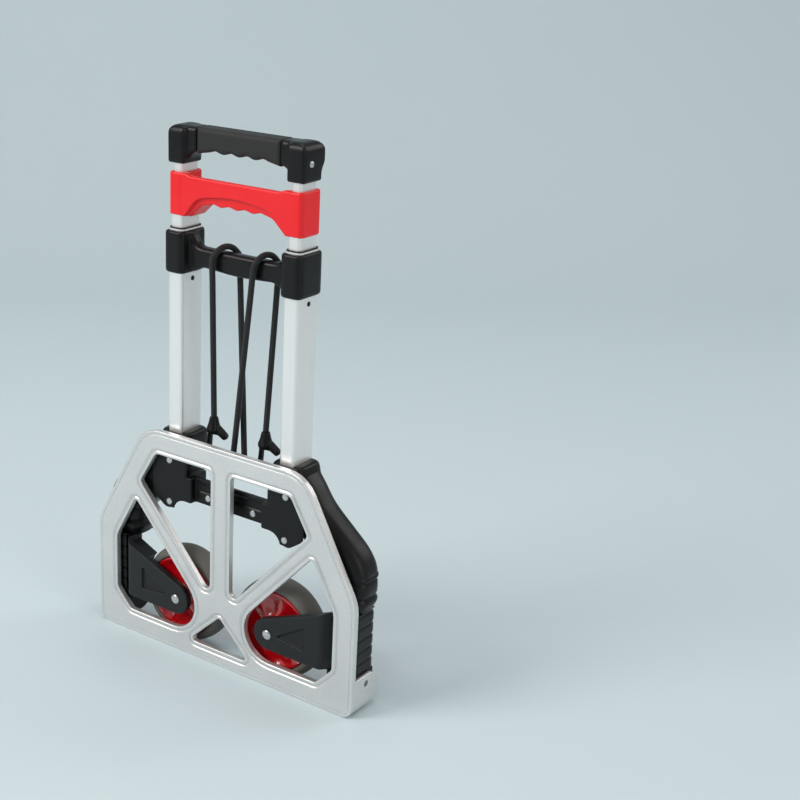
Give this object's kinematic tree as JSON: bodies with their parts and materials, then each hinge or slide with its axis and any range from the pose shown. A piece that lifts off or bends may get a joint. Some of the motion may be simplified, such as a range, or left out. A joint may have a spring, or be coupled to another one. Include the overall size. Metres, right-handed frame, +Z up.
{
  "type": "folding luggage cart",
  "caption": "Folding hand cart stored flat: telescopic aluminium handle, cast toe plate over swing-out wheels, red crosspiece and elastic cords.",
  "frame": {"origin": "middle of the folded cart on the floor: centre of the bounding box, at its bottom", "axes": "+Z up along the telescopic tubes, +X across the cart to its right seen from the front, +Y towards the back; the toe plate is the front, -Y, face"},
  "size_m": [0.385, 0.055, 0.635],
  "materials": {
    "cast_aluminium": "satin cast",
    "tube_aluminium": "satin anodised",
    "steel": "zinc plated",
    "black_plastic": "satin moulded",
    "red_plastic": "satin moulded",
    "hub_red": "glossy",
    "tyre": "matt rubber",
    "cord_fabric": "braided sheath"
  },
  "bodies": {
    "chassis": {"leg_left": "black_plastic", "leg_right": "black_plastic", "leg_screw_left": "steel", "leg_screw_right": "steel", "pad_screw_upper_left": "steel", "pad_screw_upper_right": "steel", "pad_screw_lower_left": "steel", "pad_screw_lower_right": "steel", "bar_screw_left": "steel", "bar_screw_right": "steel", "bracket_pin_left": "steel", "bracket_pin_right": "steel", "toe_pin_left": "steel", "toe_pin_right": "steel", "main_tube_left": "tube_aluminium", "main_tube_right": "tube_aluminium", "tube_plug_left": "black_plastic", "tube_plug_right": "black_plastic", "trim_ring_left": "tube_aluminium", "trim_ring_right": "tube_aluminium", "gasket_left": "black_plastic", "gasket_right": "black_plastic", "cord_left": "cord_fabric", "cord_right": "cord_fabric", "hook_left": "black_plastic", "hook_right": "black_plastic", "cord_ferrule_left": "black_plastic", "cord_ferrule_right": "black_plastic", "lower_bridge": "black_plastic", "upper_bridge": "black_plastic"},
    "stage_middle": {"middle_tube_left": "tube_aluminium", "middle_tube_right": "tube_aluminium", "middle_glide_left": "black_plastic", "middle_glide_right": "black_plastic", "red_crosspiece": "red_plastic"},
    "stage_top": {"inner_tube_left": "tube_aluminium", "inner_tube_right": "tube_aluminium", "inner_glide_left": "black_plastic", "inner_glide_right": "black_plastic", "handle_cap_left": "black_plastic", "handle_cap_right": "black_plastic", "handle_screw_left": "steel", "handle_screw_right": "steel", "handle_grip": "black_plastic"},
    "toe_plate": {"toe_plate": "cast_aluminium"},
    "bracket_left": {"wheel_bracket_left": "black_plastic", "axle_left": "steel", "axle_washer_left": "steel", "axle_clip_left": "steel"},
    "bracket_right": {"wheel_bracket_right": "black_plastic", "axle_right": "steel", "axle_washer_right": "steel", "axle_clip_right": "steel"},
    "wheel_left": {"hub_left": "hub_red", "tyre_left": "tyre"},
    "wheel_right": {"hub_right": "hub_red", "tyre_right": "tyre"}
  },
  "joints": [
    {"name": "middle_slide", "type": "slide", "parent": "chassis", "child": "stage_middle", "axis": [0, 0, 1], "range_m": [0, 0.185]},
    {"name": "top_slide", "type": "slide", "parent": "stage_middle", "child": "stage_top", "axis": [0, 0, 1], "range_m": [0, 0.185]},
    {"name": "toe_hinge", "type": "hinge", "parent": "chassis", "child": "toe_plate", "pos_m": [0, 0.0025, 0.034], "axis": [1, 0, 0], "range_deg": [0, 90]},
    {"name": "bracket_left_swing", "type": "hinge", "parent": "chassis", "child": "bracket_left", "pos_m": [-0.168, 0.004, 0.065], "axis": [0, 0, 1], "range_deg": [0, 90]},
    {"name": "bracket_right_swing", "type": "hinge", "parent": "chassis", "child": "bracket_right", "pos_m": [0.168, 0.004, 0.065], "axis": [0, 0, 1], "range_deg": [-90, 0]},
    {"name": "wheel_left_spin", "type": "hinge", "parent": "bracket_left", "child": "wheel_left", "pos_m": [-0.07, 0, 0.065], "axis": [0, 1, 0], "continuous": true},
    {"name": "wheel_right_spin", "type": "hinge", "parent": "bracket_right", "child": "wheel_right", "pos_m": [0.07, 0, 0.065], "axis": [0, 1, 0], "continuous": true}
  ],
  "couplings": [
    {"joint": "bracket_left_swing", "follows": "toe_hinge", "ratio": 1},
    {"joint": "bracket_right_swing", "follows": "toe_hinge", "ratio": -1}
  ]
}
